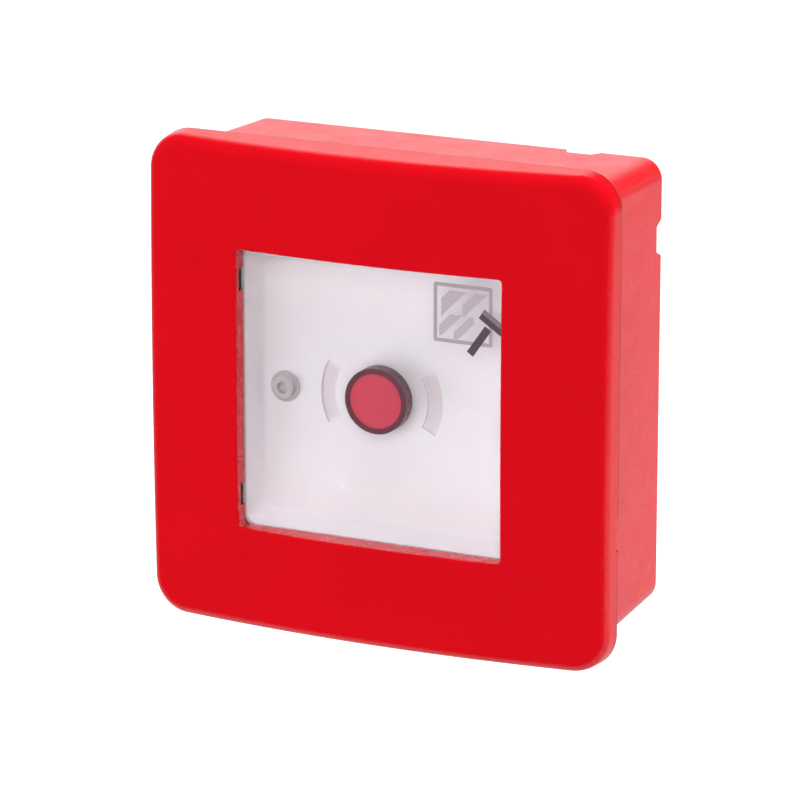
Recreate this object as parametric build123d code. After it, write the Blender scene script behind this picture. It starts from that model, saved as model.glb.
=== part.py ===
from build123d import *
import math
import os

# Emergency switch enclosure: a red moulded wall box whose hinged cover holds
# a breakable pane in front of a push button on a white inner tray.
# Millimetres. The origin is the centre of the face that lies on the wall,
# +Z is up and the front faces -Y, so a "distance" here is measured from the
# wall towards the person in front of it.

# Overall size
total_depth = 50.0
box_width = 111.0
box_height = 112.0
cover_depth = 13.0
cover_side_reach = 4.5
cover_top_reach = 4.0

# Cover shell
cover_corner_radius = 9.0
cover_draft = 0.8
cover_wall = 2.4
front_wall = 2.6
front_bow = 5.5
front_crown = 1.125
front_edge_radius = 3.2
rear_edge_radius = 0.7

# Rear box
box_corner_radius = 5.0
box_draft = 1.2
box_wall = 2.5
back_wall = 2.5
back_recess = 3.5
rim_depth = 3.0
gasket_thickness = 1.6
gasket_inset = 0.3
gasket_lip_wall = 1.2
gasket_lip_height = 1.3
gasket_lip_gap = 0.5

# Notches in the rear edge of the box
notch_depth = 3.0
notch_mouth = 8.8
notch_floor = 6.2
notch_side_offset = 36.0
notch_top_offset = 34.2

# Holes for the wall screws
wall_screw_side_inset = 13.5
wall_screw_top_inset = 14.0
wall_screw_hole_radius = 2.25
wall_screw_boss_radius = 5.0
wall_screw_boss_rise = 2.0

# Cable entries
entry_radius = 10.25
entry_distance = 20.0
rear_entry_radius = 10.25
rear_entry_inset = 22.0
grommet_gap = 0.1
grommet_flange_radius = 12.6
grommet_flange = 1.2
grommet_membrane = 1.0
grommet_bore_radius = 8.2

# Window and pane
window_side_border = 25.75
window_top_border = 25.75
window_corner_radius = 1.0
window_edge_radius = 0.5
pane_setback = 5.7
pane_thickness = 1.2
pane_overlap = 3.2
pane_gap = 0.2
pane_seal_thickness = 0.8
pane_seal_overlap = 0.1

# Frame that carries the pane
retainer_plate = 2.0
retainer_lip = 1.3
retainer_lip_drop = 0.2
retainer_opening_gap = 1.95
retainer_gap = 0.2
pocket_wall = 1.6
pocket_corner_radius = 2.5
clip_length = 5.0
clip_inset = 7.75
clip_slot_depth = 2.0
clip_gap = 0.2
clip_nose_setback = 0.45
retainer_ear_radius = 3.5
retainer_ear_reach = 5.1
retainer_ear_offset = 20.0

# Self-tapping screws of the pane frame
small_screw_radius = 1.2
small_screw_length = 5.2
small_screw_head_radius = 2.5
small_screw_head = 1.5
small_screw_hole_gap = 0.03
small_screw_slot_width = 0.8
small_screw_slot_depth = 0.7

# Hinge on the left side
hinge_offset = 35.0
hinge_knuckle_radius = 2.0
hinge_pin_radius = 0.9
hinge_box_knuckle = 6.0
hinge_cover_knuckle = 4.0
hinge_gap = 0.3
hinge_pin_gap = 0.05
hinge_drop = 3.0
hinge_pin_head = 0.8
hinge_pin_head_radius = 1.6

# Snap and the slot for a screwdriver on the right side
pry_slot_offset = -26.5
pry_slot_length = 7.8
pry_slot_depth = 1.6
snap_length = 18.0
snap_bump = 0.85
snap_bump_width = 1.0
snap_bump_setback = 0.4
snap_ridge = 0.8
snap_ridge_width = 0.8

# White inner tray
tray_side_gap = 1.0
tray_flange = 2.0
tray_flange_drop = 5.5
tray_flange_radius = 3.0
tray_rim_gap = 0.6
tray_depth = 5.6
tray_floor = 2.2
tray_rim_wall = 1.1
tray_collar_gap = 0.8
tray_collar_radius = 4.0
tray_wall_draft = 3.2
tray_rim_round = 0.4
tray_floor_round = 1.5
tray_support_width = 4.0
tray_support_reach = 4.5
tray_support_offset = 38.0
tray_lug_width = 10.0
tray_lug_reach = 2.4
tray_lug_offset = 20.0
tray_lug_gap = 0.2

# Two shallow arcs moulded in the tray beside the button
arc_inner_radius = 12.0
arc_outer_radius = 15.9
arc_half_angle = 29.0
arc_depth = 0.6

# Screw of the inner tray
tray_screw_inset = 5.85
tray_screw_radius = 1.5
tray_screw_length = 14.0
tray_screw_head_radius = 2.7
tray_screw_head = 2.2
tray_screw_head_round = 0.5
tray_screw_socket_radius = 1.45
tray_screw_socket_depth = 1.6
tray_screw_hole_gap = 0.1
tray_screw_bore_gap = 0.03
tray_boss_radius = 4.0
tray_boss_bore = 16.0
tray_washer_radius = 3.8
tray_washer_round = 0.3
tray_washer_thickness = 1.0

# Push button
collar_radius = 8.0
collar_wall = 1.25
lens_gap = 0.3
lens_running_gap = 0.05
lens_thickness = 1.8
lens_dome = 0.35
collar_edge_round = 0.4
stem_radius = 4.4
stem_running_gap = 0.08
barrel_radius = 6.0
barrel_hole_gap = 0.1
plunger_flange_radius = 5.1
plunger_flange = 2.0
plunger_flange_gap = 0.1
rest_stop_gap = 0.1
button_travel = 3.0
travel_margin = 0.3
nut_flats = 15.0
nut_thickness = 3.0
nut_gap = 0.05
barrel_washer_radius = 8.6
barrel_washer_thickness = 0.8

# Return spring
spring_outer_radius = 3.6
spring_wall = 0.9

# Contact block behind the button
block_width = 22.0
block_height = 34.0
block_wall = 1.5
block_front = 3.4
block_cavity_height = 19.0
block_socket_nut_gap = 0.7
block_socket_wall = 2.0
block_socket_gap = 0.05
block_lid = 1.5
block_back_gap = 1.0
bay_partition = 2.0
spring_seat_depth = 2.6
spring_seat_gap = 0.2

# Plunger rod and the moving contacts
rod_radius = 2.0
rod_running_gap = 0.08
rod_tail_radius = 1.5
bridge_fit_gap = 0.02
bridge_width = 4.6
bridge_length = 15.0
bridge_thickness = 0.8
contact_air_gap = 0.3
spacer_radius = 2.5
clip_radius = 3.0
clip_thickness = 0.8
rod_tail = 0.3
spacer_length = 1.5

# Fixed contacts and terminals
strip_thickness = 0.8
strip_width = 6.0
strip_inner = 4.0
strip_outer = 16.4
strip_turn = 8.6
strip_back_gap = 0.4
no_post_width = 4.0
terminal_offset_x = 5.5
terminal_offset_z = 13.6
terminal_screw_radius = 1.3
terminal_screw_length = 5.0
terminal_head_radius = 2.2
terminal_head = 1.2
terminal_bore_gap = 0.03
clamp_size = 4.8
clamp_thickness = 0.7

# Sizes that follow from the box
cover_width = box_width + 2 * cover_side_reach
cover_height = box_height + 2 * cover_top_reach
window_width = cover_width - 2 * window_side_border
window_height = cover_height - 2 * window_top_border
wall_screw_spacing_x = box_width - 2 * wall_screw_side_inset
wall_screw_spacing_z = box_height - 2 * wall_screw_top_inset
rear_entry_drop = box_height / 2 - rear_entry_inset
clip_offset = window_height / 2 - clip_inset

# Distances from the wall that follow from the sizes
cover_rear = total_depth - cover_depth
rim_front = cover_rear + rim_depth
gasket_seat = rim_front + gasket_thickness
pane_front = total_depth - pane_setback
pane_rear = pane_front - pane_thickness
seal_rear = pane_rear - pane_seal_thickness
retainer_rear = seal_rear - retainer_plate
box_floor = back_recess + back_wall
tray_rim = pane_rear - tray_rim_gap
tray_flange_front = tray_rim - tray_flange_drop
tray_flange_rear = tray_flange_front - tray_flange
tray_floor_front = tray_rim - tray_depth
tray_floor_rear = tray_floor_front - tray_floor
lens_front = pane_rear - lens_gap
lens_rear = lens_front - lens_thickness
collar_floor_front = lens_rear - button_travel - travel_margin
washer_rear = tray_floor_rear - barrel_washer_thickness
nut_rear = washer_rear - nut_thickness
block_socket_front = nut_rear - block_socket_nut_gap
block_rear = box_floor + block_back_gap + block_lid
no_strip_rear = block_rear + strip_back_gap
no_strip_front = no_strip_rear + strip_thickness
no_bridge_rear = no_strip_front + contact_air_gap + button_travel
no_bridge_front = no_bridge_rear + bridge_thickness
nc_bridge_rear = no_bridge_front + spacer_length
nc_bridge_front = nc_bridge_rear + bridge_thickness
nc_strip_rear = nc_bridge_front + contact_air_gap
block_cavity_front = nc_strip_rear + strip_thickness
block_face = block_cavity_front + block_front
flange_rear = block_face + travel_margin + button_travel
flange_front = flange_rear + plunger_flange
barrel_shoulder_rear = flange_front + rest_stop_gap
hinge_distance = cover_rear - hinge_drop
hinge_x = -(box_width / 2 + hinge_gap + hinge_knuckle_radius)
pane_width = window_width + 2 * pane_overlap
pane_height = window_height + 2 * pane_overlap
retainer_width = pane_width + 2 * (pane_gap + retainer_lip)
retainer_height = pane_height + 2 * (pane_gap + retainer_lip)
pocket_width = retainer_width + 2 * retainer_gap
pocket_height = retainer_height + 2 * retainer_gap
opening_width = window_width + 2 * retainer_opening_gap
opening_height = window_height + 2 * retainer_opening_gap
tray_width = box_width - 2 * (box_wall + tray_side_gap)
tray_height = box_height - 2 * (box_wall + tray_side_gap)
tray_collar_width = opening_width - 2 * tray_collar_gap
tray_collar_height = opening_height - 2 * tray_collar_gap
dish_floor_side = tray_collar_width / 2 - tray_rim_wall - tray_wall_draft
tray_screw_offset = dish_floor_side - tray_screw_inset

# How far a cut runs past the surface that it opens
overrun = 10.0


def level(distance):
    """The plane at this distance from the wall, facing the front."""
    return Plane.XZ.offset(distance)


def slab(width, height, start, end, radius=0.0):
    """A block centred on the middle line, between two distances from the wall."""
    if radius > 0:
        outline = RectangleRounded(width, height, radius)
    else:
        outline = Rectangle(width, height)
    return extrude(level(start) * outline, amount=end - start)


def block(x_low, x_high, z_low, z_high, start, end):
    """A plain block given by its sides and two distances from the wall."""
    outline = Rectangle(x_high - x_low, z_high - z_low, align=(Align.MIN, Align.MIN))
    return extrude(level(start) * Pos(x_low, z_low) * outline, amount=end - start)


def disc(radius, start, end, x=0.0, z=0.0):
    """A round bar that runs along the depth."""
    return extrude(level(start) * Pos(x, z) * Circle(radius), amount=end - start)


def hexagon(flats, start, end):
    """A hexagonal bar that runs along the middle line, measured across its flats."""
    corner_radius = flats / math.sqrt(3)
    return extrude(level(start) * RegularPolygon(corner_radius, 6), amount=end - start)


def upright(radius, z_low, z_high):
    """A round bar on the hinge line."""
    place = Pos(hinge_x, -hinge_distance, z_low)
    bar = Cylinder(radius, z_high - z_low, align=(Align.CENTER, Align.CENTER, Align.MIN))
    return place * bar


def drafted(width, height, radius, start, end, inset):
    """A rounded block whose end is smaller by the inset on every side."""
    near = level(start) * RectangleRounded(width, height, radius)
    far = level(end) * RectangleRounded(width - 2 * inset, height - 2 * inset, radius)
    return loft([near, far], ruled=True)


def arc_radius(fall, half_chord):
    """The radius of an arc that falls away by this much over half of its chord."""
    return (half_chord**2 + fall**2) / (2 * fall)


def sagitta(radius, half_chord):
    """How far an arc falls away over half of its chord."""
    return radius - math.sqrt(radius**2 - half_chord**2)


def bowed_space(setback):
    """Everything behind a front that is bowed across and slightly crowned in height."""
    front = setback - total_depth
    bow_radius = arc_radius(front_bow, cover_width / 2)
    crown_radius = arc_radius(front_crown, cover_height / 2)
    half = cover_width / 2 + overrun
    corner = front + sagitta(bow_radius, half)
    arc = ThreePointArc((-half, corner), (0, front), (half, corner))
    sides = Polyline((half, corner), (half, 0), (-half, 0), (-half, corner))
    profile = make_face(arc + sides)
    axis = Axis((0, front + crown_radius, 0), (1, 0, 0))
    swing = math.degrees(math.asin((cover_height / 2 + overrun) / crown_radius))
    return revolve(profile.rotate(axis, -swing), axis, 2 * swing)


def box_narrowing(distance):
    """How much the draft takes off each side of the box at this distance."""
    return box_draft * max(0.0, cover_rear - distance) / cover_rear


def box_outline(start, end, wall):
    """The drafted space inside the box walls, or their outside when the wall is 0."""
    narrow_start = box_narrowing(start)
    narrow_end = box_narrowing(end)
    radius = max(box_corner_radius - wall, 1.5)
    far = min(end, cover_rear)
    width = box_width - 2 * wall
    height = box_height - 2 * wall
    near_outline = RectangleRounded(width - 2 * narrow_start, height - 2 * narrow_start, radius)
    far_narrow = box_narrowing(far)
    far_outline = RectangleRounded(width - 2 * far_narrow, height - 2 * far_narrow, radius)
    body = loft([level(start) * near_outline, level(far) * far_outline], ruled=True)
    if end > far:
        body += slab(width - 2 * narrow_end, height - 2 * narrow_end, far, end, radius)
    return body


def corner_places(spacing_x, spacing_z):
    """The four corners of a rectangle about the middle line."""
    return [(sx * spacing_x / 2, sz * spacing_z / 2) for sx in (-1, 1) for sz in (-1, 1)]


def notch(reach):
    """A notch with slanting ends, on its side, that opens at the wall."""
    points = [
        (-notch_mouth / 2, 0),
        (notch_mouth / 2, 0),
        (notch_floor / 2, -notch_depth),
        (-notch_floor / 2, -notch_depth),
    ]
    outline = Polyline(*points, close=True)
    return extrude(make_face(outline), amount=reach, both=True)


def rear_box():
    """The box that is screwed to the wall and holds everything."""
    body = box_outline(0, rim_front, 0)
    body -= box_outline(box_floor, rim_front + overrun, box_wall)
    hollow_width = box_width - 2 * (box_wall + box_draft)
    hollow_height = box_height - 2 * (box_wall + box_draft)
    body -= slab(hollow_width, hollow_height, -overrun, back_recess, box_corner_radius - 1.5)
    for x, z in corner_places(wall_screw_spacing_x, wall_screw_spacing_z):
        body += disc(wall_screw_boss_radius, 0, box_floor + wall_screw_boss_rise, x, z)
    for x, z in corner_places(wall_screw_spacing_x, wall_screw_spacing_z):
        body -= disc(wall_screw_hole_radius, -overrun, box_floor + overrun, x, z)
    body += tray_supports()
    body += tray_lugs()
    body += disc(tray_boss_radius, back_recess, tray_floor_rear, -tray_screw_offset)
    bore_start = tray_floor_rear - tray_boss_bore
    bore_radius = tray_screw_radius + tray_screw_bore_gap
    body -= disc(bore_radius, bore_start, tray_floor_rear + overrun, -tray_screw_offset)
    body -= disc(rear_entry_radius, 0, box_floor + overrun, 0, -rear_entry_drop)
    body -= entry_hole()
    body += box_hinge_knuckles()
    body += snap_ridge_bar()
    reach = overrun / 2
    for turn in (0, 180):
        side = Rot(0, turn, 0)
        top_notch = Pos(notch_top_offset, 0, box_height / 2) * notch(reach)
        side_notch = Pos(box_width / 2, 0, notch_side_offset) * Rot(0, 90, 0) * notch(reach)
        body -= side * top_notch
        body -= side * side_notch
    return body


def entry_hole():
    """The open cable entry through the bottom wall."""
    depth = 2 * overrun
    place = Pos(0, -entry_distance, -box_height / 2)
    return place * Cylinder(entry_radius, depth)


def tray_supports():
    """Upright ribs on the four inner walls, which carry the flange of the tray."""
    ribs = []
    half = tray_support_width / 2
    side = box_width / 2 - box_wall
    top = box_height / 2 - box_wall
    anchor = box_wall / 2
    for offset in (-tray_support_offset, tray_support_offset):
        low = offset - half
        high = offset + half
        reach = tray_support_reach
        ribs.append(block(side - reach, side + anchor, low, high, back_recess, tray_flange_rear))
        ribs.append(block(-side - anchor, reach - side, low, high, back_recess, tray_flange_rear))
        ribs.append(block(low, high, top - reach, top + anchor, back_recess, tray_flange_rear))
        ribs.append(block(low, high, -top - anchor, reach - top, back_recess, tray_flange_rear))
    return trimmed_to_box(ribs)


def tray_lugs():
    """Two lugs on the right wall that hold the edge of the tray down."""
    lugs = []
    side = box_width / 2 - box_wall
    start = tray_flange_front + tray_lug_gap
    for offset in (-tray_lug_offset, tray_lug_offset):
        low = offset - tray_lug_width / 2
        high = offset + tray_lug_width / 2
        edge = side - tray_lug_reach
        lugs.append(block(edge, side + box_wall / 2, low, high, start, rim_front - tray_lug_gap))
    return trimmed_to_box(lugs)


def trimmed_to_box(pieces):
    """Cut ribs and lugs back to the outer faces of the box."""
    skin = box_outline(0, rim_front, box_wall / 2)
    joined = pieces[0]
    for piece in pieces[1:]:
        joined += piece
    return joined & skin


def box_hinge_knuckles():
    """The fixed middle knuckle of each hinge, on the left wall."""
    knuckles = []
    wall_x = -box_width / 2 + box_wall / 2
    foot = hinge_knuckle_radius
    for offset in (-hinge_offset, hinge_offset):
        low = offset - hinge_box_knuckle / 2
        high = offset + hinge_box_knuckle / 2
        web = block(hinge_x, wall_x, low, high, hinge_distance - foot, hinge_distance + foot)
        knuckle = upright(hinge_knuckle_radius, low, high) + web
        knuckles.append(knuckle - upright(hinge_pin_radius, low - overrun, high + overrun))
    return knuckles[0] + knuckles[1]


def snap_ridge_bar():
    """The ridge on the right wall that the cover snaps over."""
    low = pry_slot_offset - snap_length / 2
    high = pry_slot_offset + snap_length / 2
    inner = box_width / 2 - box_wall / 2
    outer = box_width / 2 + snap_ridge
    return block(inner, outer, low, high, rim_front - snap_ridge_width, rim_front)


def front_cover():
    """The red cover with its bowed front, window and pane pocket."""
    depth = cover_depth + overrun
    inset = cover_draft * depth / cover_depth
    shell = drafted(
        cover_width, cover_height, cover_corner_radius, cover_rear, cover_rear + depth, inset
    )
    shell &= bowed_space(0)
    shell -= slab(
        window_width, window_height, cover_rear, total_depth + overrun, window_corner_radius
    )
    shell = fillet(front_of(shell).outer_wire().edges(), front_edge_radius)
    shell = fillet(front_of(shell).inner_wires()[0].edges(), window_edge_radius)
    rear_face = shell.faces().sort_by(Axis.Y)[-1]
    solid = fillet(rear_face.outer_wire().edges(), rear_edge_radius)
    shell = solid - cover_hollow()
    shell += (pane_pocket() + retainer_bosses()) & solid
    shell -= slab(pocket_width, pocket_height, cover_rear, pane_front, pocket_corner_radius)
    shell -= clip_slots()
    shell -= retainer_screw_holes()
    shell += cover_hinge_knuckles()
    shell += snap_bumps()
    shell -= pry_slot()
    return shell


def front_of(shell):
    """The bowed front face around the window."""
    pierced = [face for face in shell.faces() if face.inner_wires()]
    return min(pierced, key=lambda face: face.bounding_box().min.Y)


def cover_hollow():
    """The space in the back of the cover, around the flat seat of its gasket."""
    skirt_width = cover_width - 2 * cover_wall
    skirt_height = cover_height - 2 * cover_wall
    skirt_radius = cover_corner_radius - cover_wall
    skirt = slab(skirt_width, skirt_height, cover_rear - overrun, gasket_seat, skirt_radius)
    lip_width = box_width - 2 * (box_wall + gasket_lip_gap)
    lip_height = box_height - 2 * (box_wall + gasket_lip_gap)
    lip_start = gasket_seat - gasket_lip_height
    lip = slab(lip_width, lip_height, lip_start, gasket_seat, box_corner_radius - 1.5)
    room_width = lip_width - 2 * gasket_lip_wall
    room_height = lip_height - 2 * gasket_lip_wall
    room = slab(room_width, room_height, lip_start, total_depth, box_corner_radius - 2.5)
    room &= bowed_space(front_wall)
    return (skirt - lip) + room


def pane_pocket():
    """The square wall inside the cover that the pane frame drops into."""
    width = pocket_width + 2 * pocket_wall
    height = pocket_height + 2 * pocket_wall
    return slab(width, height, seal_rear, total_depth, pocket_corner_radius)


def retainer_ear_places():
    """Where the four screws of the pane frame stand."""
    x = retainer_width / 2 + retainer_ear_reach
    return [(sx * x, sz * retainer_ear_offset) for sx in (-1, 1) for sz in (-1, 1)]


def retainer_bosses():
    """Bosses beside the pocket for the screws of the pane frame."""
    x, z = retainer_ear_places()[0]
    bosses = disc(retainer_ear_radius, seal_rear, total_depth, x, z)
    for x, z in retainer_ear_places()[1:]:
        bosses += disc(retainer_ear_radius, seal_rear, total_depth, x, z)
    return bosses


def retainer_screw_holes():
    """Blind holes for the screws of the pane frame."""
    end = retainer_rear + small_screw_length + small_screw_hole_gap * 10
    radius = small_screw_radius + small_screw_hole_gap
    x, z = retainer_ear_places()[0]
    holes = disc(radius, cover_rear, end, x, z)
    for x, z in retainer_ear_places()[1:]:
        holes += disc(radius, cover_rear, end, x, z)
    return holes


def clip_places():
    """The side and height of each hook that shows beside the pane."""
    return [(side, height) for side in (-1, 1) for height in (-clip_offset, clip_offset)]


def side_block(side, near, far, z_low, z_high, start, end):
    """A block that starts near the middle on the left or the right side."""
    x_low = min(side * near, side * far)
    x_high = max(side * near, side * far)
    return block(x_low, x_high, z_low, z_high, start, end)


def clip_slots():
    """Slots in the sides of the window for the hooks of the pane frame."""
    slots = []
    half = clip_length / 2 + clip_gap
    inner = window_width / 2 - window_corner_radius
    outer = pocket_width / 2
    for side, height in clip_places():
        low = height - half
        high = height + half
        end = pane_front + clip_slot_depth
        slots.append(side_block(side, inner, outer, low, high, seal_rear, end))
    joined = slots[0]
    for slot in slots[1:]:
        joined += slot
    return joined


def cover_hinge_knuckles():
    """The two outer knuckles of each hinge, on short arms behind the cover's edge."""
    arms = []
    arm_outer = hinge_x - hinge_knuckle_radius
    for offset in (-hinge_offset, hinge_offset):
        for side in (-1, 1):
            near = offset + side * (hinge_box_knuckle / 2 + hinge_gap)
            far = near + side * hinge_cover_knuckle
            low = min(near, far)
            high = max(near, far)
            arm = block(arm_outer, hinge_x, low, high, hinge_distance, cover_rear + cover_wall)
            arm += upright(hinge_knuckle_radius, low, high)
            bore = hinge_pin_radius + hinge_pin_gap
            arms.append(arm - upright(bore, low - overrun, high + overrun))
    joined = arms[0]
    for arm in arms[1:]:
        joined += arm
    return joined


def snap_bumps():
    """The bump inside the right wall that passes over the ridge of the box."""
    low = pry_slot_offset - snap_length / 2
    high = pry_slot_offset + snap_length / 2
    outer = cover_width / 2 - cover_wall / 2
    inner = cover_width / 2 - cover_wall - snap_bump
    start = cover_rear + snap_bump_setback
    return block(inner, outer, low, high, start, start + snap_bump_width)


def pry_slot():
    """The slot in the right edge where a screwdriver opens the cover."""
    low = pry_slot_offset - pry_slot_length / 2
    high = pry_slot_offset + pry_slot_length / 2
    inner = cover_width / 2 - cover_wall - overrun / 5
    outer = cover_width / 2 + overrun
    return block(inner, outer, low, high, cover_rear - overrun / 5, cover_rear + pry_slot_depth)


def cover_gasket():
    """The soft ring between the cover and the rim of the box."""
    outer_width = box_width - 2 * gasket_inset
    outer_height = box_height - 2 * gasket_inset
    inner_width = box_width - 2 * box_wall
    inner_height = box_height - 2 * box_wall
    outer_radius = box_corner_radius - gasket_inset
    ring = slab(outer_width, outer_height, rim_front, gasket_seat, outer_radius)
    inner_radius = max(box_corner_radius - box_wall, 1.5)
    return ring - slab(inner_width, inner_height, rim_front, gasket_seat, inner_radius)


def window_pane():
    """The clear pane that is broken to reach the button."""
    return slab(pane_width, pane_height, pane_rear, pane_front, window_corner_radius)


def pane_seal():
    """The thin soft ring between the pane and its frame."""
    outer_width = pane_width - 2 * pane_seal_overlap
    outer_height = pane_height - 2 * pane_seal_overlap
    ring = slab(outer_width, outer_height, seal_rear, pane_rear, window_corner_radius)
    return ring - slab(opening_width, opening_height, seal_rear, pane_rear, window_corner_radius)


def pane_retainer():
    """The black frame behind the pane, with hooks that reach over its edge."""
    lip_front = pane_front - retainer_lip_drop
    frame = slab(retainer_width, retainer_height, retainer_rear, lip_front, pocket_corner_radius)
    recess_width = pane_width + 2 * pane_gap
    recess_height = pane_height + 2 * pane_gap
    frame -= slab(recess_width, recess_height, seal_rear, total_depth, window_corner_radius)
    for x, z in retainer_ear_places():
        frame += ear(x, z)
    frame -= slab(opening_width, opening_height, cover_rear, total_depth, window_corner_radius)
    for x, z in retainer_ear_places():
        hole = small_screw_radius + small_screw_hole_gap
        frame -= disc(hole, cover_rear, total_depth, x, z)
    for side, height in clip_places():
        frame += clip_hook(side, height)
    return frame


def ear(x, z):
    """A rounded ear of the pane frame around one screw."""
    side = math.copysign(1, x)
    low = z - retainer_ear_radius
    high = z + retainer_ear_radius
    near = retainer_width / 2 - retainer_lip
    arm = side_block(side, near, abs(x), low, high, retainer_rear, seal_rear)
    return arm + disc(retainer_ear_radius, retainer_rear, seal_rear, x, z)


def clip_hook(side, height):
    """A hook that rises beside the pane and turns over its front edge."""
    low = height - clip_length / 2
    high = height + clip_length / 2
    arm_inner = pane_width / 2 + pane_gap
    arm_outer = retainer_width / 2
    nose = window_width / 2 + clip_nose_setback
    end = pane_front + clip_slot_depth - clip_gap
    arm = side_block(side, arm_inner, arm_outer, low, high, seal_rear, end)
    return arm + side_block(side, nose, arm_outer, low, high, pane_front, end)


def retainer_screws():
    """The four small screws of the pane frame, heads towards the wall."""
    screws = []
    head_rear = retainer_rear - small_screw_head
    for x, z in retainer_ear_places():
        screw = disc(small_screw_radius, retainer_rear, retainer_rear + small_screw_length, x, z)
        screw += disc(small_screw_head_radius, head_rear, retainer_rear, x, z)
        half = small_screw_slot_width / 2
        reach = small_screw_head_radius
        slot_end = head_rear + small_screw_slot_depth
        screw -= block(x - reach, x + reach, z - half, z + half, cover_rear - overrun, slot_end)
        screw -= block(x - half, x + half, z - reach, z + reach, cover_rear - overrun, slot_end)
        screws.append(screw)
    return Compound(children=screws)


def hinge_pins():
    """The two upright pins of the hinge."""
    pins = []
    reach = hinge_box_knuckle / 2 + hinge_gap + hinge_cover_knuckle
    for offset in (-hinge_offset, hinge_offset):
        pin = upright(hinge_pin_radius, offset - reach, offset + reach + hinge_gap)
        head_low = offset + reach + hinge_gap
        pin += upright(hinge_pin_head_radius, head_low, head_low + hinge_pin_head)
        pins.append(pin)
    return Compound(children=pins)


def inner_tray():
    """The white tray behind the pane, with a shallow dish around the button."""
    tray = slab(tray_width, tray_height, tray_flange_rear, tray_flange_front, tray_flange_radius)
    collar = slab(
        tray_collar_width, tray_collar_height, tray_floor_rear, tray_rim, tray_collar_radius
    )
    rim_face = collar.faces().sort_by(Axis.Y)[0]
    tray += fillet(rim_face.edges(), tray_rim_round)
    tray -= tray_dish()
    tray -= disc(barrel_radius + barrel_hole_gap, cover_rear - overrun, total_depth)
    hole = tray_screw_radius + tray_screw_hole_gap
    tray -= disc(hole, tray_flange_rear - overrun, total_depth, -tray_screw_offset)
    for side in (0, 180):
        tray -= arc_recess(side)
    return tray


def tray_dish():
    """The hollow of the tray, drafted, with a soft turn into its floor."""
    width = tray_collar_width - 2 * tray_rim_wall
    height = tray_collar_height - 2 * tray_rim_wall
    floor_width = width - 2 * tray_wall_draft
    floor_height = height - 2 * tray_wall_draft
    radius = tray_collar_radius - tray_rim_wall
    floor_outline = level(tray_floor_front) * RectangleRounded(floor_width, floor_height, radius)
    rim_outline = level(tray_rim) * RectangleRounded(width, height, radius)
    dish = loft([floor_outline, rim_outline], ruled=True)
    floor_face = dish.faces().sort_by(Axis.Y)[-1]
    return fillet(floor_face.edges(), tray_floor_round)


def arc_recess(side):
    """One of the two shallow arcs beside the button."""
    middle = (arc_inner_radius + arc_outer_radius) / 2
    path = CenterArc((0, 0), middle, side - arc_half_angle, 2 * arc_half_angle)
    outline = trace(path, line_width=arc_outer_radius - arc_inner_radius)
    floor_level = level(tray_floor_front - arc_depth)
    return extrude(floor_level * outline, amount=arc_depth + overrun)


def tray_screw():
    """The screw that holds the left side of the tray, with a socket in its head."""
    x = -tray_screw_offset
    seat = tray_floor_front + tray_washer_thickness
    screw = disc(tray_screw_radius, seat - tray_screw_length, seat, x)
    head = disc(tray_screw_head_radius, seat, seat + tray_screw_head, x)
    front_face = head.faces().sort_by(Axis.Y)[0]
    head = fillet(front_face.edges(), tray_screw_head_round)
    socket_floor = seat + tray_screw_head - tray_screw_socket_depth
    head -= disc(tray_screw_socket_radius, socket_floor, total_depth, x)
    return screw + head


def tray_washer():
    """The broad washer under the tray screw."""
    x = -tray_screw_offset
    end = tray_floor_front + tray_washer_thickness
    washer = disc(tray_washer_radius, tray_floor_front, end, x)
    washer = fillet(washer.faces().sort_by(Axis.Y)[0].edges(), tray_washer_round)
    hole = tray_screw_radius + tray_screw_hole_gap
    return washer - disc(hole, tray_floor_front, end, x)


def button_collar():
    """The dark collar in front of the tray and its barrel through the floor."""
    collar = disc(collar_radius, tray_floor_front, lens_front)
    front_face = collar.faces().sort_by(Axis.Y)[0]
    collar = fillet(front_face.edges(), collar_edge_round)
    collar += disc(barrel_radius, block_face, tray_floor_front)
    collar -= disc(collar_radius - collar_wall, collar_floor_front, total_depth)
    stem_bore = stem_radius + stem_running_gap
    collar -= disc(stem_bore, barrel_shoulder_rear, total_depth)
    return collar - disc(plunger_flange_radius + plunger_flange_gap, 0, barrel_shoulder_rear)


def barrel_washer():
    """The soft washer between the tray and the nut of the button."""
    ring = disc(barrel_washer_radius, washer_rear, tray_floor_rear)
    return ring - disc(barrel_radius + nut_gap, washer_rear, tray_floor_rear)


def barrel_nut():
    """The nut that clamps the button to the tray."""
    nut = hexagon(nut_flats, nut_rear, washer_rear)
    return nut - disc(barrel_radius + nut_gap, nut_rear, washer_rear)


def button_lens():
    """The red cap that is pressed, with the stem that guides it."""
    radius = collar_radius - collar_wall - lens_running_gap
    cap = disc(radius, lens_rear, lens_front - lens_dome)
    dome_radius = (radius**2 + lens_dome**2) / (2 * lens_dome)
    dome = Pos(0, dome_radius - lens_front, 0) * Sphere(dome_radius)
    cap += disc(radius, lens_front - lens_dome, lens_front) & dome
    return cap + disc(stem_radius, flange_front, lens_rear)


def button_plunger():
    """The plunger behind the cap, with the rod that carries the contacts."""
    plunger = disc(plunger_flange_radius, flange_rear, flange_front)
    plunger += disc(rod_radius, nc_bridge_front, flange_rear)
    tail = no_bridge_rear - clip_thickness - rod_tail
    return plunger + disc(rod_tail_radius, tail, nc_bridge_front)


def return_spring():
    """The spring that pushes the button out, drawn as a plain sleeve."""
    end = block_face - spring_seat_depth
    sleeve = disc(spring_outer_radius, end, flange_rear)
    return sleeve - disc(spring_outer_radius - spring_wall, end, flange_rear)


def bridge(front):
    """A moving contact bar with the hole for the rod."""
    bar = block(
        -bridge_width / 2, bridge_width / 2, -bridge_length / 2, bridge_length / 2,
        front - bridge_thickness, front,
    )
    return bar - disc(rod_tail_radius + bridge_fit_gap, front - bridge_thickness, front)


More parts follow.
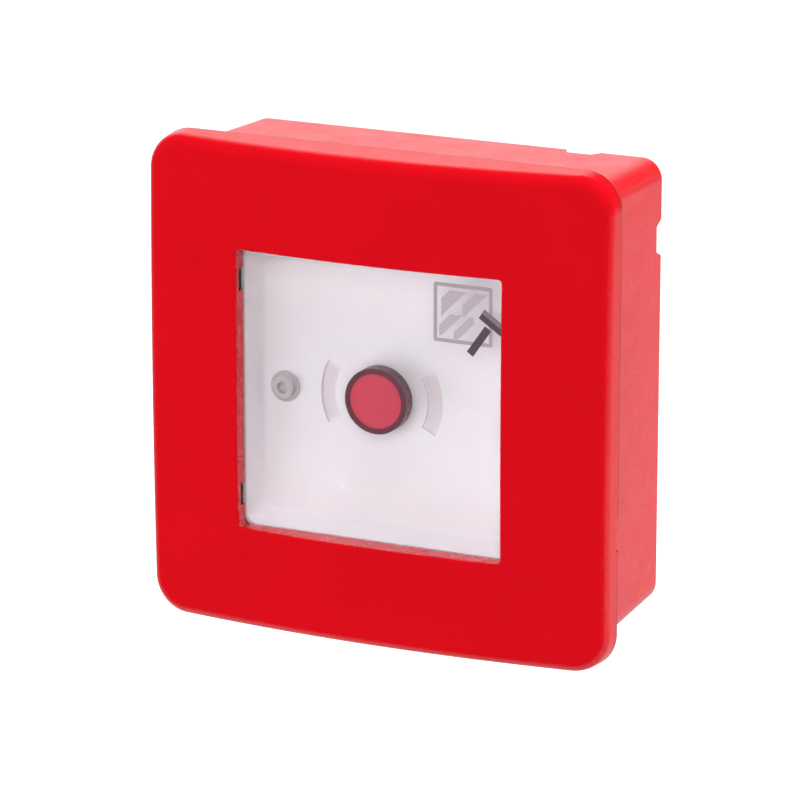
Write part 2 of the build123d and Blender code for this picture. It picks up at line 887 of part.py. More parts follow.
def contact_block():
    """The housing of the contacts, plugged onto the barrel of the button."""
    half_width = block_width / 2
    half_height = block_height / 2
    body = block(-half_width, half_width, -half_height, half_height, block_rear, block_face)
    socket_bore = barrel_radius + block_socket_gap
    body += disc(socket_bore + block_socket_wall, block_face, block_socket_front)
    body -= disc(socket_bore, block_face, block_socket_front)
    body -= block_cavity()
    body -= disc(rod_radius + rod_running_gap, 0, total_depth)
    seat_radius = spring_outer_radius + spring_seat_gap
    body -= disc(seat_radius, block_face - spring_seat_depth, block_face)
    body += no_strip_posts()
    for up in (-1, 1):
        body -= terminal_bays(up)
        body -= terminal_bore(-terminal_offset_x, up, nc_strip_rear)
        body -= terminal_bore(terminal_offset_x, up, no_strip_rear)
    return body


def block_cavity():
    """The room for the moving contacts, open at the back."""
    half_width = block_width / 2 - block_wall
    half_height = block_cavity_height / 2
    return block(-half_width, half_width, -half_height, half_height, 0, block_cavity_front)


def no_strip_posts():
    """Posts on the floor of the cavity that carry the closing fixed contacts."""
    half_width = block_width / 2 - block_wall / 2
    top = block_cavity_height / 2 + block_wall / 2
    low = strip_turn - strip_width / 2
    posts = []
    for up in (-1, 1):
        z_low = min(up * low, up * top)
        z_high = max(up * low, up * top)
        x_low = half_width - no_post_width
        posts.append(block(x_low, half_width, z_low, z_high, no_strip_front, block_cavity_front))
    return posts[0] + posts[1]


def terminal_bays(up):
    """The open bays above or below the cavity, one for each kind of contact."""
    half_partition = bay_partition / 2
    outer_x = block_width / 2 - half_partition
    inner_z = strip_inner + block_wall
    bay_z = block_cavity_height / 2 + block_wall
    end = block_height / 2 + overrun
    nc_bay = turned_block(up, -outer_x, -half_partition, bay_z, end, block_cavity_front)
    no_bay = turned_block(up, half_partition, outer_x, bay_z, end, no_strip_front)
    nc_slot = turned_block(up, -outer_x, -half_partition, inner_z, end, block_cavity_front)
    no_slot = turned_block(up, half_partition, outer_x, inner_z, end, no_strip_front)
    return nc_bay + no_bay + nc_slot + no_slot


def turned_block(up, x_low, x_high, z_near, z_far, end):
    """A block open towards the wall, above or below the middle line."""
    z_low = min(up * z_near, up * z_far)
    z_high = max(up * z_near, up * z_far)
    return block(x_low, x_high, z_low, z_high, 0, end)


def terminal_bore(x, up, strip_rear):
    """The hole under a terminal screw."""
    start = strip_rear + strip_thickness
    radius = terminal_screw_radius + terminal_bore_gap
    end = start + terminal_screw_length
    return disc(radius, start - strip_thickness, end, x, up * terminal_offset_z)


def contact_block_lid():
    """The lid that closes the back of the contact housing."""
    half_width = block_width / 2
    half_height = block_cavity_height / 2 + block_wall
    start = block_rear - block_lid
    return block(-half_width, half_width, -half_height, half_height, start, block_rear)


def fixed_strip(side, up, rear):
    """A fixed contact: a pad by the middle and a tongue out to its screw."""
    half_bridge = bridge_width / 2
    outer_x = terminal_offset_x + strip_width / 2
    pad = oriented(side, up, -half_bridge, outer_x, strip_inner, strip_turn, rear)
    tongue_x = terminal_offset_x - strip_width / 2
    tongue = oriented(side, up, tongue_x, outer_x, strip_turn, strip_outer, rear)
    hole = terminal_screw_radius + terminal_bore_gap
    x = side * terminal_offset_x
    z = up * terminal_offset_z
    return pad + tongue - disc(hole, rear - overrun, rear + overrun, x, z)


def oriented(side, up, x_near, x_far, z_near, z_far, rear):
    """A piece of strip on the left or right, above or below the middle."""
    x_low = min(side * x_near, side * x_far)
    x_high = max(side * x_near, side * x_far)
    z_low = min(up * z_near, up * z_far)
    z_high = max(up * z_near, up * z_far)
    return block(x_low, x_high, z_low, z_high, rear, rear + strip_thickness)


def fixed_contacts(side, rear):
    """The upper and lower fixed contact of one kind."""
    return Compound(children=[fixed_strip(side, up, rear) for up in (-1, 1)])


def terminals():
    """The middle of each terminal and the back of the strip under it."""
    places = []
    for up in (-1, 1):
        z = up * terminal_offset_z
        places.append((-terminal_offset_x, z, nc_strip_rear))
        places.append((terminal_offset_x, z, no_strip_rear))
    return places


def wire_clamps():
    """The square clamping plates under the terminal screws."""
    clamps = []
    half = clamp_size / 2
    hole = terminal_screw_radius + terminal_bore_gap
    for x, z, rear in terminals():
        start = rear - clamp_thickness
        clamp = block(x - half, x + half, z - half, z + half, start, rear)
        clamps.append(clamp - disc(hole, start, rear, x, z))
    return Compound(children=clamps)


def terminal_screws():
    """The four screws that clamp the wires, heads towards the wall."""
    screws = []
    for x, z, rear in terminals():
        seat = rear - clamp_thickness
        shank_end = rear + terminal_screw_length
        screw = disc(terminal_screw_radius, seat, shank_end, x, z)
        head = disc(terminal_head_radius, seat - terminal_head, seat, x, z)
        half = small_screw_slot_width / 2
        reach = terminal_head_radius
        slot_end = seat - terminal_head + small_screw_slot_depth
        head -= block(x - reach, x + reach, z - half, z + half, 0, slot_end)
        screws.append(screw + head)
    return Compound(children=screws)


def bridge_spacer(front, rear):
    """The tube that keeps the two moving contacts apart."""
    tube = disc(spacer_radius, rear, front)
    return tube - disc(rod_tail_radius + bridge_fit_gap, rear, front)


def bridge_clip(front):
    """The ring that keeps the moving contacts on the rod."""
    ring = disc(clip_radius, front - clip_thickness, front)
    return ring - disc(rod_tail_radius + bridge_fit_gap, front - clip_thickness, front)


def rear_grommet():
    """The soft membrane that closes the cable entry in the back wall."""
    z = -rear_entry_drop
    neck_radius = rear_entry_radius - grommet_gap
    neck = disc(neck_radius, back_recess, box_floor, 0, z)
    inner_end = box_floor + grommet_flange
    outer_start = back_recess - grommet_flange
    plug = neck + disc(grommet_flange_radius, box_floor, inner_end, 0, z)
    plug += disc(grommet_flange_radius, outer_start, back_recess, 0, z)
    return plug - disc(grommet_bore_radius, outer_start + grommet_membrane, inner_end, 0, z)


def main():
    os.makedirs("parts", exist_ok=True)
    parts = {
        "rear_box": rear_box(),
        "front_cover": front_cover(),
        "cover_gasket": cover_gasket(),
        "window_pane": window_pane(),
        "pane_seal": pane_seal(),
        "pane_retainer": pane_retainer(),
        "retainer_screws": retainer_screws(),
        "hinge_pins": hinge_pins(),
        "inner_tray": inner_tray(),
        "tray_screw": tray_screw(),
        "tray_washer": tray_washer(),
        "button_collar": button_collar(),
        "barrel_washer": barrel_washer(),
        "barrel_nut": barrel_nut(),
        "button_lens": button_lens(),
        "button_plunger": button_plunger(),
        "return_spring": return_spring(),
        "opening_bridge": bridge(nc_bridge_front),
        "bridge_spacer": bridge_spacer(nc_bridge_rear, no_bridge_front),
        "closing_bridge": bridge(no_bridge_front),
        "bridge_clip": bridge_clip(no_bridge_rear),
        "contact_block": contact_block(),
        "contact_block_lid": contact_block_lid(),
        "opening_contacts": fixed_contacts(-1, nc_strip_rear),
        "closing_contacts": fixed_contacts(1, no_strip_rear),
        "wire_clamps": wire_clamps(),
        "terminal_screws": terminal_screws(),
        "rear_grommet": rear_grommet(),
    }
    for name, shape in parts.items():
        export_step(shape, f"parts/{name}.step")
        print(name, round(shape.volume, 1), "cubic mm")


main()
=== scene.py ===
"""Looks of the emergency switch enclosure.

Finishes, the sign printed on the pane, the coiled return spring, the light and the camera.
"""

import math

import bpy
from mathutils import Matrix, Vector


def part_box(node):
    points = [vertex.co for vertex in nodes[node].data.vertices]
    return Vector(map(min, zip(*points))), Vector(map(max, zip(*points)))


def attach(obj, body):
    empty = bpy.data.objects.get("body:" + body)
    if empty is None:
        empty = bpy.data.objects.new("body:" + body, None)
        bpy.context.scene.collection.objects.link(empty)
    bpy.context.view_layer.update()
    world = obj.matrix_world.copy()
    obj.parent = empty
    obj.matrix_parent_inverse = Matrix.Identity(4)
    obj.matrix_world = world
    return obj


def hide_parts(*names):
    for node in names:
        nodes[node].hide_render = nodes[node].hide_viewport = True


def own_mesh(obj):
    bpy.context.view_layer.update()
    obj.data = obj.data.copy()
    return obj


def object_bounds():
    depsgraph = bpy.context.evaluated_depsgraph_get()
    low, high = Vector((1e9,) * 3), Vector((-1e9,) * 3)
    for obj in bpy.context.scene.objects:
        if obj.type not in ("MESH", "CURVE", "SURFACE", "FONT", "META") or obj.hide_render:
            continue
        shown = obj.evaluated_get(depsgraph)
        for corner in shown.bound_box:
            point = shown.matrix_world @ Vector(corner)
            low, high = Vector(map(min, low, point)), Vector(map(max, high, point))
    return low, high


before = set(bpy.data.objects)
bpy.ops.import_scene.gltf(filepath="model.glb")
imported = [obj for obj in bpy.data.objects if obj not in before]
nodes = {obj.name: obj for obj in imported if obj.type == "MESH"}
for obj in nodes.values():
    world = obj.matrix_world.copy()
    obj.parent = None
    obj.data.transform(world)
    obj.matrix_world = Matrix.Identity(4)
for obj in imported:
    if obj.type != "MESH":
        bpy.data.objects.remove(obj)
cad_low, cad_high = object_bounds()

MM = 0.001
OBJECT_MIDDLE_MM = (0, -25, 0)

# The photograph's camera, found from the outline and the window in the picture
IMAGE_SIDE_PX = 800
FOCAL_PX = 4866
SENSOR_MM = 36.0
CAMERA_AZIMUTH = math.radians(25.30)
CAMERA_ELEVATION = math.radians(15.92)
CAMERA_DISTANCE = 1161 * MM
CAMERA_AIM = Vector(OBJECT_MIDDLE_MM) * MM
CAMERA_MOVE_RIGHT = -1.98 * MM
CAMERA_MOVE_UP = -4.13 * MM
CAMERA_CLIP_START = 50 * MM
CAMERA_CLIP_END = 30000 * MM

# The floor, and how brightly it shows to the camera
FLOOR_DROP = 360 * MM
FLOOR_FRONT = 200 * MM
FLOOR_BACK = 6000 * MM
FLOOR_HALF_WIDTH = 3500 * MM
FLOOR_GLOW = 0.85

# The room's light by direction: its level all round, what its bright part adds, and that part's
# two edges, each as where a soft step starts and where it ends
ROOM_DIM = 0.05
ROOM_BRIGHT = 0.98
ROOM_BEHIND_EDGE = (0.15, 0.72)
ROOM_UPPER_RIGHT_EDGE = (0.42, 0.24)

# Each lamp's name, place and side in millimetres, power in watts, and target in millimetres
LAMPS = [
    ("left_lamp", (-750, -700, -380), 1000, 8.0, OBJECT_MIDDLE_MM),
    ("right_lamp", (1400, 100, 200), 1000, 15.2, OBJECT_MIDDLE_MM),
    ("front_lamp", (150, -1500, 300), 1500, 17.0, OBJECT_MIDDLE_MM),
    ("overhead_lamp", (0, -100, 1500), 1200, 21.5, OBJECT_MIDDLE_MM),
    ("backdrop_lamp", (500, 1800, 1100), 2500, 58.0, (500, 1800, -420)),
]

# Edges of the painted shade, each as where a soft step starts and where it ends. The shade in the
# tray's two arc recesses lies about the button's axis, between two radii, and to its sides by a
# share of the radius.
ARC_INNER_EDGE = (11.9 * MM, 12.7 * MM)
ARC_OUTER_EDGE = (16.1 * MM, 15.5 * MM)
ARC_SIDE_EDGE = (0.85, 0.92)
# The painted shadow line at the cover's rear edge, as depths along Y
PARTING_SHADOW_EDGE = (-38.3 * MM, -37.9 * MM)

# How far a finish's roughness strays to each side
PLASTIC_GLOSS_SPREAD = 0.06
METAL_GLOSS_SPREAD = 0.08
# How many rubbed patches fit across a flow mark, and the width of a drawn line over its length
RUBS_PER_FLOW_MARK = 3
DRAWN_LINE_SHARE = 0.06

# The diffuser's rings behind the red cap are 0.8 mm for each radian, so 5 mm from crest to crest.
# A wave node turns by 20 radians over one unit.
RING_MM_PER_RADIAN = 0.8
WAVE_RADIANS_PER_UNIT = 20

# The sign printed on the pane: the ink's thickness, its gap to the pane, and how much paler it is
# where it is thin
PRINT_THICKNESS = 0.03 * MM
PRINT_LIFT = 0.01 * MM
INK_THIN_GAIN = 1.12

# The sign's frame, glass and hammer, in millimetres across and up
SIGN_MIDDLE = Vector((23.1, 24.1))
SIGN_WIDTH = 15.0
SIGN_HEIGHT = 14.3
SIGN_LINE = 0.9
SIGN_CORNER = 0.6
SIGN_CORNER_STEPS = 5
# Each band of the glass: how far its two lines rise, and its limits across and up
GLASS_BANDS = [
    ((5.6, 9.9), (17.5, 24.3), (23.0, 29.6)),
    ((0.2, 3.2), (23.0, 29.2), (23.6, 29.5)),
    ((0.9, 3.9), (17.0, 22.6), (18.5, 23.8)),
    ((-3.9, -1.2), (20.8, 25.9), (18.0, 23.6)),
]
BAND_OVERRUN = 20
HAMMER_HEAD_START = Vector((27.5, 24.3))
HAMMER_HEAD_END = Vector((34.0, 19.9))
HAMMER_HEAD_WIDTH = 1.4
HAMMER_LIGHT_MOVE = Vector((0.7, 1.1))
HAMMER_HANDLE_START = Vector((29.5, 21.4))
HAMMER_HANDLE_END = Vector((24.9, 14.8))
HAMMER_HANDLE_WIDTH = 1.9

# The return spring's wire, and the points along each turn and round the wire
SPRING_WIRE = 0.7 * MM
SPRING_TURNS = 5.0
SPRING_TURN_POINTS = 28
SPRING_WIRE_POINTS = 10


def linear(hex_colour):
    """An sRGB hex colour as linear red, green, blue and a full alpha."""
    channels = [int(hex_colour[i : i + 2], 16) / 255 for i in (1, 3, 5)]
    turned = [c / 12.92 if c <= 0.04045 else ((c + 0.055) / 1.055) ** 2.4 for c in channels]
    return (*turned, 1.0)


def add(tree, kind, settings=None, inputs=None):
    """Adds a node with its settings; an input is given a value, or the socket that feeds it."""
    made = tree.nodes.new(kind)
    for name, value in (settings or {}).items():
        setattr(made, name, value)
    for name, value in (inputs or {}).items():
        socket = made.inputs[name]
        if isinstance(value, bpy.types.NodeSocket):
            tree.links.new(value, socket)
        else:
            socket.default_value = value
    return made


def new_material(name):
    """An empty material and its node tree."""
    material = bpy.data.materials.new(name)
    material.use_nodes = True
    material.node_tree.nodes.clear()
    return material, material.node_tree


def finish_material(material, shader):
    """Joins the shader to the material's output."""
    add(material.node_tree, "ShaderNodeOutputMaterial", None, {"Surface": shader})
    return material


def per_metre(size_mm):
    """The scale of a pattern whose features are this many millimetres across."""
    return 1000 / size_mm


def soft_mask(tree, edges, peak=1.0):
    """Reaches its peak where every value is past its edge, and is 0 where one isn't."""
    mask = peak
    for value, (start, end) in edges:
        step = add(
            tree, "ShaderNodeMapRange", {"interpolation_type": "SMOOTHSTEP"},
            {"Value": value, "From Min": start, "From Max": end},
        )
        joined = add(
            tree, "ShaderNodeMath", {"operation": "MULTIPLY"}, {0: mask, 1: step.outputs["Result"]}
        )
        mask = joined.outputs[0]
    return mask


def arc_recess_shade(tree, place):
    """A mask of painted shade in the tray's two shallow arc recesses, standing in for their darker
    floors.
    """
    flat = add(
        tree, "ShaderNodeMapping", {"vector_type": "POINT"}, {"Vector": place, "Scale": (1, 0, 1)}
    )
    distance = add(
        tree, "ShaderNodeVectorMath", {"operation": "LENGTH"}, {0: flat.outputs["Vector"]}
    )
    radius = distance.outputs["Value"]
    parts = add(tree, "ShaderNodeSeparateXYZ", None, {"Vector": place})
    reach = add(tree, "ShaderNodeMath", {"operation": "ABSOLUTE"}, {0: parts.outputs["X"]})
    share = add(
        tree, "ShaderNodeMath", {"operation": "DIVIDE"}, {0: reach.outputs[0], 1: radius}
    )
    edges = [
        (radius, ARC_INNER_EDGE), (radius, ARC_OUTER_EDGE), (share.outputs[0], ARC_SIDE_EDGE),
    ]
    return soft_mask(tree, edges)


def parting_gap_shadow(tree, place):
    """A mask of painted shadow along the thin rear edge of the cover, where it meets the box."""
    parts = add(tree, "ShaderNodeSeparateXYZ", None, {"Vector": place})
    return soft_mask(tree, [(parts.outputs["Y"], PARTING_SHADOW_EDGE)])


def moulded_plastic(
    name, colour, shade, roughness, grain=0.7, grain_height=0.004, flow=22.0, sink_height=0.012,
    coat=0.0, specular=0.5, painted_shade=None, painted_shade_colour="#000000",
):
    """Injection-moulded plastic: an eroded mould's grain over faint sink marks and flow tones, and
    painted shade where a mask is given.

    Real grain is finer than a pixel, so it is drawn coarser than life. Sizes are in millimetres.
    """
    material, tree = new_material(name)
    place = add(tree, "ShaderNodeTexCoord").outputs["Object"]
    flow_noise = add(
        tree, "ShaderNodeTexNoise", None,
        {"Vector": place, "Scale": per_metre(flow), "Detail": 3.0, "Roughness": 0.55},
    )
    flow_share = add(
        tree, "ShaderNodeMapRange", None,
        {"Value": flow_noise.outputs["Fac"], "From Min": 0.3, "From Max": 0.7},
    )
    tone = add(
        tree, "ShaderNodeMix", {"data_type": "RGBA"},
        {0: flow_share.outputs["Result"], 6: linear(colour), 7: linear(shade)},
    )
    # Painted shade: where the given mask is set, the colour darkens towards the shade colour,
    # standing in for shadow in recesses and gaps
    if painted_shade:
        tone = add(
            tree, "ShaderNodeMix", {"data_type": "RGBA"},
            {0: painted_shade(tree, place), 6: tone.outputs[2], 7: linear(painted_shade_colour)},
        )
    grain_noise = add(
        tree, "ShaderNodeTexNoise", None,
        {"Vector": place, "Scale": per_metre(grain), "Detail": 2.0, "Roughness": 0.6},
    )
    rub_size = flow / RUBS_PER_FLOW_MARK
    rub_noise = add(
        tree, "ShaderNodeTexNoise", None,
        {"Vector": place, "Scale": per_metre(rub_size), "Detail": 4.0, "Roughness": 0.65},
    )
    gloss = add(
        tree, "ShaderNodeMapRange", None,
        {
            "Value": rub_noise.outputs["Fac"], "From Min": 0.25, "From Max": 0.75,
            "To Min": roughness - PLASTIC_GLOSS_SPREAD, "To Max": roughness + PLASTIC_GLOSS_SPREAD,
        },
    )
    sink = add(
        tree, "ShaderNodeBump", None,
        {"Height": flow_noise.outputs["Fac"], "Strength": 1.0, "Distance": sink_height * MM},
    )
    skin = add(
        tree, "ShaderNodeBump", None,
        {
            "Height": grain_noise.outputs["Fac"], "Strength": 1.0, "Distance": grain_height * MM,
            "Normal": sink.outputs["Normal"],
        },
    )
    surface = add(
        tree, "ShaderNodeBsdfPrincipled", None,
        {
            "Base Color": tone.outputs[2], "Roughness": gloss.outputs["Result"], "IOR": 1.5,
            "Coat Weight": coat, "Coat Roughness": 0.15, "Specular IOR Level": specular,
            "Normal": skin.outputs["Normal"],
        },
    )
    return finish_material(material, surface.outputs["BSDF"])


def worked_metal(name, colour, shade, roughness, blotch=3.0, lines=0.25, metallic=0.6):
    """Stamped or turned metal: drawn lines one way, and a plated skin that is uneven in tone.

    Real lines are finer than a pixel, so they are drawn coarser than life. Sizes are in
    millimetres.
    """
    material, tree = new_material(name)
    place = add(tree, "ShaderNodeTexCoord").outputs["Object"]
    blotches = add(
        tree, "ShaderNodeTexNoise", None,
        {"Vector": place, "Scale": per_metre(blotch), "Detail": 4.0, "Roughness": 0.6},
    )
    tone = add(
        tree, "ShaderNodeMix", {"data_type": "RGBA"},
        {0: blotches.outputs["Fac"], 6: linear(colour), 7: linear(shade)},
    )
    drawn = add(
        tree, "ShaderNodeMapping", {"vector_type": "POINT"},
        {"Vector": place, "Scale": (1.0, 1.0, DRAWN_LINE_SHARE)},
    )
    drawn_lines = add(
        tree, "ShaderNodeTexNoise", None,
        {
            "Vector": drawn.outputs["Vector"], "Scale": per_metre(lines), "Detail": 2.0,
            "Roughness": 0.5,
        },
    )
    gloss = add(
        tree, "ShaderNodeMapRange", None,
        {
            "Value": blotches.outputs["Fac"], "From Min": 0.3, "From Max": 0.7,
            "To Min": roughness - METAL_GLOSS_SPREAD, "To Max": roughness + METAL_GLOSS_SPREAD,
        },
    )
    skin = add(
        tree, "ShaderNodeBump", None,
        {"Height": drawn_lines.outputs["Fac"], "Strength": 0.6, "Distance": 0.004 * MM},
    )
    surface = add(
        tree, "ShaderNodeBsdfPrincipled", None,
        {
            "Base Color": tone.outputs[2], "Metallic": metallic,
            "Roughness": gloss.outputs["Result"], "Normal": skin.outputs["Normal"],
        },
    )
    return finish_material(material, surface.outputs["BSDF"])


def clear_pane():
    """Brittle clear sheet with a faint milky haze, which lets all light through to the tray.

    Only what is seen through it is bent and hazy. Light that falls on or leaves the tray goes
    straight through.
    """
    material, tree = new_material("clear_styrene_sheet")
    place = add(tree, "ShaderNodeTexCoord").outputs["Object"]
    haze_noise = add(
        tree, "ShaderNodeTexNoise", None,
        {"Vector": place, "Scale": per_metre(18.0), "Detail": 3.0, "Roughness": 0.5},
    )
    haze_share = add(
        tree, "ShaderNodeMapRange", None,
        {"Value": haze_noise.outputs["Fac"], "To Min": 0.035, "To Max": 0.05},
    )
    wave = add(
        tree, "ShaderNodeBump", None,
        {"Height": haze_noise.outputs["Fac"], "Strength": 1.0, "Distance": 0.002 * MM},
    )
    glass = add(
        tree, "ShaderNodeBsdfPrincipled", None,
        {
            "Base Color": linear("#FFFFFF"), "Roughness": 0.02, "IOR": 1.49,
            "Transmission Weight": 1.0, "Normal": wave.outputs["Normal"],
        },
    )
    film = add(tree, "ShaderNodeBsdfDiffuse", None, {"Color": linear("#FBF6FC")})
    hazy = add(
        tree, "ShaderNodeMixShader", None,
        {0: haze_share.outputs["Result"], 1: glass.outputs["BSDF"], 2: film.outputs["BSDF"]},
    )
    ray = add(tree, "ShaderNodeLightPath")
    through = add(tree, "ShaderNodeBsdfTransparent", None, {"Color": linear("#FFFFFF")})
    direct = add(
        tree, "ShaderNodeMath", {"operation": "MAXIMUM"},
        {0: ray.outputs["Is Shadow Ray"], 1: ray.outputs["Is Diffuse Ray"]},
    )
    unbent = add(
        tree, "ShaderNodeMath", {"operation": "MAXIMUM"},
        {0: direct.outputs[0], 1: ray.outputs["Is Glossy Ray"]},
    )
    shown = add(
        tree, "ShaderNodeMixShader", None,
        {0: unbent.outputs[0], 1: hazy.outputs["Shader"], 2: through.outputs["BSDF"]},
    )
    return finish_material(material, shown.outputs["Shader"])


def tinted_lens():
    """Red tinted cap over a diffuser with faint rings: deep colour with a soft polished front."""
    material, tree = new_material("red_tinted_acrylic")
    place = add(tree, "ShaderNodeTexCoord").outputs["Object"]
    radial = add(
        tree, "ShaderNodeMapping", {"vector_type": "POINT"},
        {"Vector": place, "Scale": (1.0, 0.0, 1.0)},
    )
    rings = add(
        tree, "ShaderNodeTexWave",
        {"wave_type": "RINGS", "rings_direction": "SPHERICAL", "wave_profile": "SIN"},
        {
            "Vector": radial.outputs["Vector"], "Distortion": 0.0,
            "Scale": per_metre(RING_MM_PER_RADIAN) / WAVE_RADIANS_PER_UNIT,
        },
    )
    cloud = add(
        tree, "ShaderNodeTexNoise", None,
        {"Vector": place, "Scale": per_metre(5.0), "Detail": 2.0, "Roughness": 0.5},
    )
    tone = add(
        tree, "ShaderNodeMix", {"data_type": "RGBA"},
        {0: cloud.outputs["Fac"], 6: linear("#D23A52"), 7: linear("#CC334C")},
    )
    skin = add(
        tree, "ShaderNodeBump", None,
        {"Height": rings.outputs["Fac"], "Strength": 0.15, "Distance": 0.01 * MM},
    )
    surface = add(
        tree, "ShaderNodeBsdfPrincipled", None,
        {
            "Base Color": tone.outputs[2], "Roughness": 0.22, "IOR": 1.49, "Coat Weight": 0.5,
            "Coat Roughness": 0.08, "Subsurface Weight": 0.25, "Subsurface Scale": 1.5 * MM,
            "Subsurface Radius": (1.0, 0.15, 0.1), "Normal": skin.outputs["Normal"],
        },
    )
    return finish_material(material, surface.outputs["BSDF"])


def printing_ink(name, colour):
    """Screen-printed ink: a thin matt film, paler in places where the mesh left less of it.

    The mesh is drawn coarser than life, so that it shows.
    """
    material, tree = new_material(name)
    place = add(tree, "ShaderNodeTexCoord").outputs["Object"]
    mesh_noise = add(
        tree, "ShaderNodeTexNoise", None,
        {"Vector": place, "Scale": per_metre(0.5), "Detail": 2.0, "Roughness": 0.5},
    )
    base = linear(colour)
    thin = [min(1.0, c * INK_THIN_GAIN) for c in base[:3]] + [1.0]
    tone = add(
        tree, "ShaderNodeMix", {"data_type": "RGBA"},
        {0: mesh_noise.outputs["Fac"], 6: base, 7: thin},
    )
    skin = add(
        tree, "ShaderNodeBump", None,
        {"Height": mesh_noise.outputs["Fac"], "Strength": 0.5, "Distance": 0.003 * MM},
    )
    surface = add(
        tree, "ShaderNodeBsdfPrincipled", None,
        {"Base Color": tone.outputs[2], "Roughness": 0.6, "Normal": skin.outputs["Normal"]},
    )
    return finish_material(material, surface.outputs["BSDF"])


# Red ABS, satin from an etched mould: an even, saturated red with soft highlights, and a painted
# shadow line along the rear edge where the cover meets the box
red_cover = moulded_plastic(
    "red_abs_cover", "#D90819", "#D30717", 0.26, grain=0.9, grain_height=0.0014,
    painted_shade=parting_gap_shadow, painted_shade_colour="#960411",
)
red_box = moulded_plastic(
    "red_abs_box", "#D90A1A", "#D10717", 0.28, grain=0.9, grain_height=0.0018
)
# White ABS: a satin skin that shows the folds of the tray, with painted shade darkening the two
# arc recesses
white_tray = moulded_plastic(
    "white_abs_tray", "#F2EEF4", "#EEEAF0", 0.42, flow=14.0, grain_height=0.002,
    sink_height=0.006, painted_shade=arc_recess_shade, painted_shade_colour="#E1D7DD",
)
# Natural acetal: waxy white with a soft sheen
white_acetal = moulded_plastic("natural_acetal", "#E9E6DE", "#DFDBD2", 0.35, flow=4.0)
# Black nylon: dull sheen with a fine grain
black_nylon = moulded_plastic(
    "black_nylon_frame", "#141314", "#1C1B1C", 0.48, grain=0.5, specular=0.25
)
# Wine-dark polycarbonate: a collar with a smooth front that mirrors very little
collar_plastic = moulded_plastic(
    "dark_wine_polycarbonate", "#641E34", "#57182B", 0.3, flow=5.0, specular=0.12
)
# Dark grey nylon: semi-gloss nut
grey_nylon = moulded_plastic("dark_grey_nylon", "#3A343A", "#332E34", 0.28, flow=5.0, coat=0.25)
# Grey polyamide of the contact housing: dry and matt
grey_housing = moulded_plastic(
    "grey_polyamide_housing", "#5B5A5C", "#525154", 0.5, flow=6.0, grain=0.5
)
# Soft rubber: matt, with a faint bloom
black_rubber = moulded_plastic(
    "black_moulded_rubber", "#1D1D1E", "#262627", 0.72, grain=0.4, grain_height=0.01, flow=6.0,
    specular=0.3,
)
# Zinc-plated steel: bright and slightly milky, with drawn lines
zinc_steel = worked_metal("zinc_plated_steel", "#E4DEE1", "#D2CCD0", 0.42, metallic=0.3)
# Spring steel: darker, smooth wire
spring_steel = worked_metal("spring_steel_wire", "#A9A9A8", "#8F8F8E", 0.26, lines=0.15)
# Stamped brass: warm, with rolled grain
brass = worked_metal("stamped_brass", "#D2AE62", "#B98F45", 0.30, blotch=2.5)
# Clear styrene: a pane that hardly shows, but for a little haze
pane_sheet = clear_pane()
# Tinted acrylic: a cap that is red all through
lens_plastic = tinted_lens()
# Inks on the pane: flat greys with no shine
pale_ink = printing_ink("pale_grey_ink", "#BAB2B9")
frame_ink = printing_ink("mid_grey_ink", "#A9A0A8")
soft_ink = printing_ink("slate_grey_ink", "#857A87")
dark_ink = printing_ink("dark_grey_ink", "#5A4D58")

FINISHES = {
    "rear_box": red_box,
    "front_cover": red_cover,
    "cover_gasket": black_rubber,
    "window_pane": pane_sheet,
    "pane_seal": black_rubber,
    "pane_retainer": black_nylon,
    "retainer_screws": zinc_steel,
    "hinge_pins": zinc_steel,
    "inner_tray": white_tray,
    "tray_screw": zinc_steel,
    "tray_washer": zinc_steel,
    "button_collar": collar_plastic,
    "barrel_washer": black_rubber,
    "barrel_nut": grey_nylon,
    "button_lens": lens_plastic,
    "button_plunger": white_acetal,
    "return_spring": spring_steel,
    "opening_bridge": brass,
    "bridge_spacer": white_acetal,
    "closing_bridge": brass,
    "bridge_clip": zinc_steel,
    "contact_block": grey_housing,
    "contact_block_lid": grey_housing,
    "opening_contacts": brass,
    "closing_contacts": brass,
    "wire_clamps": zinc_steel,
    "terminal_screws": zinc_steel,
    "rear_grommet": black_rubber,
}
for node_name, finish in FINISHES.items():
    mesh = nodes[node_name].data
    mesh.materials.clear()
    mesh.materials.append(finish)


def mesh_piece(name, mesh, material, body):
    """A finished mesh as a piece at the origin, riding on its body."""
    mesh.materials.clear()
    mesh.materials.append(material)
    piece = bpy.data.objects.new(name, mesh)
    bpy.context.scene.collection.objects.link(piece)
    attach(piece, body)
    return piece


# The sign printed on the pane: a framed sheet of glass, drawn as bands, and a small hammer
pane_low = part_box("window_pane")[0]


def flat_print(name, outlines, material, layer=0):
    """Thin printed shapes on the front of the pane, from outlines in millimetres across and up.

    Each outline runs anticlockwise as seen from the front, so that every face points outwards.
    """
    rear = pane_low.y - PRINT_LIFT - layer * PRINT_THICKNESS
    corners, faces = [], []
    for outline in outlines:
        count = len(outline)
        rear_ring = range(len(corners), len(corners) + count)
        front_ring = range(len(corners) + count, len(corners) + 2 * count)
        for depth in (rear, rear - PRINT_THICKNESS):
            corners += [(x * MM, depth, z * MM) for x, z in outline]
        faces += [tuple(reversed(rear_ring)), tuple(front_ring)]
        faces += [
            (rear_ring[i - 1], rear_ring[i], front_ring[i], front_ring[i - 1])
            for i in range(count)
        ]
    mesh = bpy.data.meshes.new(name)
    mesh.from_pydata(corners, [], faces)
    return mesh_piece(name, mesh, material, "cover")


def rounded_corner(middle, radius, start_degrees):
    """Points on a quarter circle."""
    steps = SIGN_CORNER_STEPS
    turns = [math.radians(start_degrees + 90 * i / steps) for i in range(steps + 1)]
    return [(middle[0] + radius * math.cos(t), middle[1] + radius * math.sin(t)) for t in turns]


